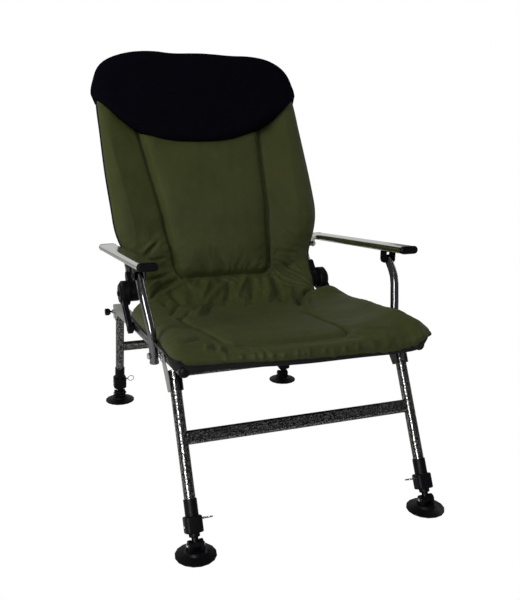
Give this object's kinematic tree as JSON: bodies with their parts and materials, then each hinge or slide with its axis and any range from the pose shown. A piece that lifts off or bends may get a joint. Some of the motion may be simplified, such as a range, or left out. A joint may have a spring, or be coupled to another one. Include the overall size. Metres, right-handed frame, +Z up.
{
  "type": "reclining carp fishing chair",
  "caption": "Folding, reclining fishing chair: padded green cover with a black headrest, two armrests, steel tube frame and adjustable legs on round mud feet.",
  "frame": {"origin": "on the ground, under the middle of the chair's bounding box", "axes": "+X to the viewer's right, -Y the way the sitter faces, +Z up"},
  "size_m": [0.6794, 1.0512, 1.0557],
  "materials": {
    "hammertone": "dark grey hammertone paint",
    "grey_steel": "light grey satin paint",
    "pale_grey": "silver grey satin paint",
    "black_plastic": "moulded black plastic",
    "zinc": "bright zinc",
    "green_cloth": "woven olive green cloth",
    "black_fleece": "short black fleece"
  },
  "bodies": {
    "seat": {"seat_rail_left": "hammertone", "seat_rail_right": "hammertone", "rear_channel_left": "grey_steel", "rear_channel_right": "grey_steel", "recline_hub_outer_left": "black_plastic", "recline_hub_outer_right": "black_plastic", "recline_hub_bolt_left": "black_plastic", "recline_hub_bolt_right": "black_plastic", "front_pivot_bolt_left": "zinc", "front_pivot_bolt_right": "zinc", "rear_pivot_bolt_left": "zinc", "rear_pivot_bolt_right": "zinc", "post_bolt_left": "zinc", "post_bolt_right": "zinc", "seat_front_bar": "hammertone", "seat_rear_bar": "hammertone", "seat_cushion": "green_cloth", "cover_waist": "green_cloth"},
    "front_legs": {"front_leg_left": "hammertone", "front_leg_right": "hammertone", "front_leg_bracket_left": "grey_steel", "front_leg_bracket_right": "grey_steel", "leg_sleeve_front_left": "black_plastic", "leg_sleeve_front_right": "black_plastic", "front_crossbar": "hammertone"},
    "rear_legs": {"rear_leg_left": "hammertone", "rear_leg_right": "hammertone", "leg_sleeve_rear_left": "black_plastic", "leg_sleeve_rear_right": "black_plastic", "rear_crossbar": "hammertone"},
    "back": {"back_tube_left": "hammertone", "back_tube_right": "hammertone", "recline_hub_inner_left": "black_plastic", "recline_hub_inner_right": "black_plastic", "armrest_pivot_bolt_left": "zinc", "armrest_pivot_bolt_right": "zinc", "back_cushion": "green_cloth", "headrest": "black_fleece"},
    "armrest_left": {"armrest_left": "pale_grey", "armrest_cap_left": "black_plastic", "armrest_bracket_left": "black_plastic"},
    "post_left": {"post_left": "hammertone"},
    "lock_plunger_left": {"lock_plunger_left": "black_plastic"},
    "leg_extension_front_left": {"leg_extension_front_left": "black_plastic"},
    "mud_foot_front_left": {"mud_foot_front_left": "black_plastic"},
    "pull_pin_front_left": {"pull_pin_front_left": "zinc"},
    "leg_extension_rear_left": {"leg_extension_rear_left": "black_plastic"},
    "mud_foot_rear_left": {"mud_foot_rear_left": "black_plastic"},
    "pull_pin_rear_left": {"pull_pin_rear_left": "zinc"},
    "armrest_right": {"armrest_right": "pale_grey", "armrest_cap_right": "black_plastic", "armrest_bracket_right": "black_plastic"},
    "post_right": {"post_right": "hammertone"},
    "lock_plunger_right": {"lock_plunger_right": "black_plastic"},
    "leg_extension_front_right": {"leg_extension_front_right": "black_plastic"},
    "mud_foot_front_right": {"mud_foot_front_right": "black_plastic"},
    "pull_pin_front_right": {"pull_pin_front_right": "zinc"},
    "leg_extension_rear_right": {"leg_extension_rear_right": "black_plastic"},
    "mud_foot_rear_right": {"mud_foot_rear_right": "black_plastic"},
    "pull_pin_rear_right": {"pull_pin_rear_right": "zinc"}
  },
  "joints": [
    {"name": "front_legs_fold", "type": "hinge", "parent": "seat", "child": "front_legs", "pos_m": [0, -0.28165, 0.3648], "axis": [1, 0, 0], "range_deg": [0, 84]},
    {"name": "rear_legs_fold", "type": "hinge", "parent": "seat", "child": "rear_legs", "pos_m": [0, 0.33827, 0.29293], "axis": [-1, 0, 0], "range_deg": [0, 98]},
    {"name": "back_recline", "type": "hinge", "parent": "seat", "child": "back", "pos_m": [0, 0.15685, 0.406], "axis": [1, 0, 0], "range_deg": [-20, 55], "deforming": ["cover_waist"]},
    {"name": "armrest_left_swing", "type": "hinge", "parent": "back", "child": "armrest_left", "pos_m": [-0.298, 0.23214, 0.497], "axis": [1, 0, 0], "range_deg": [-54, 20]},
    {"name": "post_left_swing", "type": "hinge", "parent": "seat", "child": "post_left", "pos_m": [-0.301, -0.25015, 0.362], "axis": [1, 0, 0], "range_deg": [-14, 37.5]},
    {"name": "armrest_right_swing", "type": "hinge", "parent": "back", "child": "armrest_right", "pos_m": [0.298, 0.23214, 0.497], "axis": [1, 0, 0], "range_deg": [-54, 20]},
    {"name": "post_right_swing", "type": "hinge", "parent": "seat", "child": "post_right", "pos_m": [0.301, -0.25015, 0.362], "axis": [1, 0, 0], "range_deg": [-14, 37.5]},
    {"name": "leg_extension_front_left_slide", "type": "slide", "parent": "front_legs", "child": "leg_extension_front_left", "axis": [0, -0.4462, -0.8949], "range_m": [0, 0.09]},
    {"name": "mud_foot_front_left_swivel", "type": "hinge", "parent": "leg_extension_front_left", "child": "mud_foot_front_left", "pos_m": [-0.275, -0.48165, 0.024], "axis": [1, 0, 0], "range_deg": [-25, 25]},
    {"name": "pull_pin_front_left_pull", "type": "slide", "parent": "front_legs", "child": "pull_pin_front_left", "axis": [1, 0, 0], "range_m": [0, 0.006], "stiffness_N_per_m": 400, "springref_m": -0.005},
    {"name": "leg_extension_front_right_slide", "type": "slide", "parent": "front_legs", "child": "leg_extension_front_right", "axis": [0, -0.4462, -0.8949], "range_m": [0, 0.09]},
    {"name": "mud_foot_front_right_swivel", "type": "hinge", "parent": "leg_extension_front_right", "child": "mud_foot_front_right", "pos_m": [0.275, -0.48165, 0.024], "axis": [1, 0, 0], "range_deg": [-25, 25]},
    {"name": "pull_pin_front_right_pull", "type": "slide", "parent": "front_legs", "child": "pull_pin_front_right", "axis": [-1, 0, 0], "range_m": [0, 0.006], "stiffness_N_per_m": 400, "springref_m": -0.005},
    {"name": "leg_extension_rear_left_slide", "type": "slide", "parent": "rear_legs", "child": "leg_extension_rear_left", "axis": [0, 0.225, -0.9744], "range_m": [0, 0.09]},
    {"name": "mud_foot_rear_left_swivel", "type": "hinge", "parent": "leg_extension_rear_left", "child": "mud_foot_rear_left", "pos_m": [-0.275, 0.40035, 0.024], "axis": [1, 0, 0], "range_deg": [-25, 25]},
    {"name": "pull_pin_rear_left_pull", "type": "slide", "parent": "rear_legs", "child": "pull_pin_rear_left", "axis": [1, 0, 0], "range_m": [0, 0.006], "stiffness_N_per_m": 400, "springref_m": -0.005},
    {"name": "leg_extension_rear_right_slide", "type": "slide", "parent": "rear_legs", "child": "leg_extension_rear_right", "axis": [0, 0.225, -0.9744], "range_m": [0, 0.09]},
    {"name": "mud_foot_rear_right_swivel", "type": "hinge", "parent": "leg_extension_rear_right", "child": "mud_foot_rear_right", "pos_m": [0.275, 0.40035, 0.024], "axis": [1, 0, 0], "range_deg": [-25, 25]},
    {"name": "pull_pin_rear_right_pull", "type": "slide", "parent": "rear_legs", "child": "pull_pin_rear_right", "axis": [-1, 0, 0], "range_m": [0, 0.006], "stiffness_N_per_m": 400, "springref_m": -0.005},
    {"name": "lock_plunger_left_pull", "type": "slide", "parent": "seat", "child": "lock_plunger_left", "axis": [-1, 0, 0], "range_m": [0, 0.008], "stiffness_N_per_m": 500, "springref_m": -0.006},
    {"name": "lock_plunger_right_pull", "type": "slide", "parent": "seat", "child": "lock_plunger_right", "axis": [1, 0, 0], "range_m": [0, 0.008], "stiffness_N_per_m": 500, "springref_m": -0.006}
  ],
  "couplings": [
    {"joint": "armrest_left_swing", "follows": "back_recline", "ratio": -0.95},
    {"joint": "post_left_swing", "follows": "back_recline", "ratio": 0.66},
    {"joint": "armrest_right_swing", "follows": "back_recline", "ratio": -0.95},
    {"joint": "post_right_swing", "follows": "back_recline", "ratio": 0.66}
  ]
}
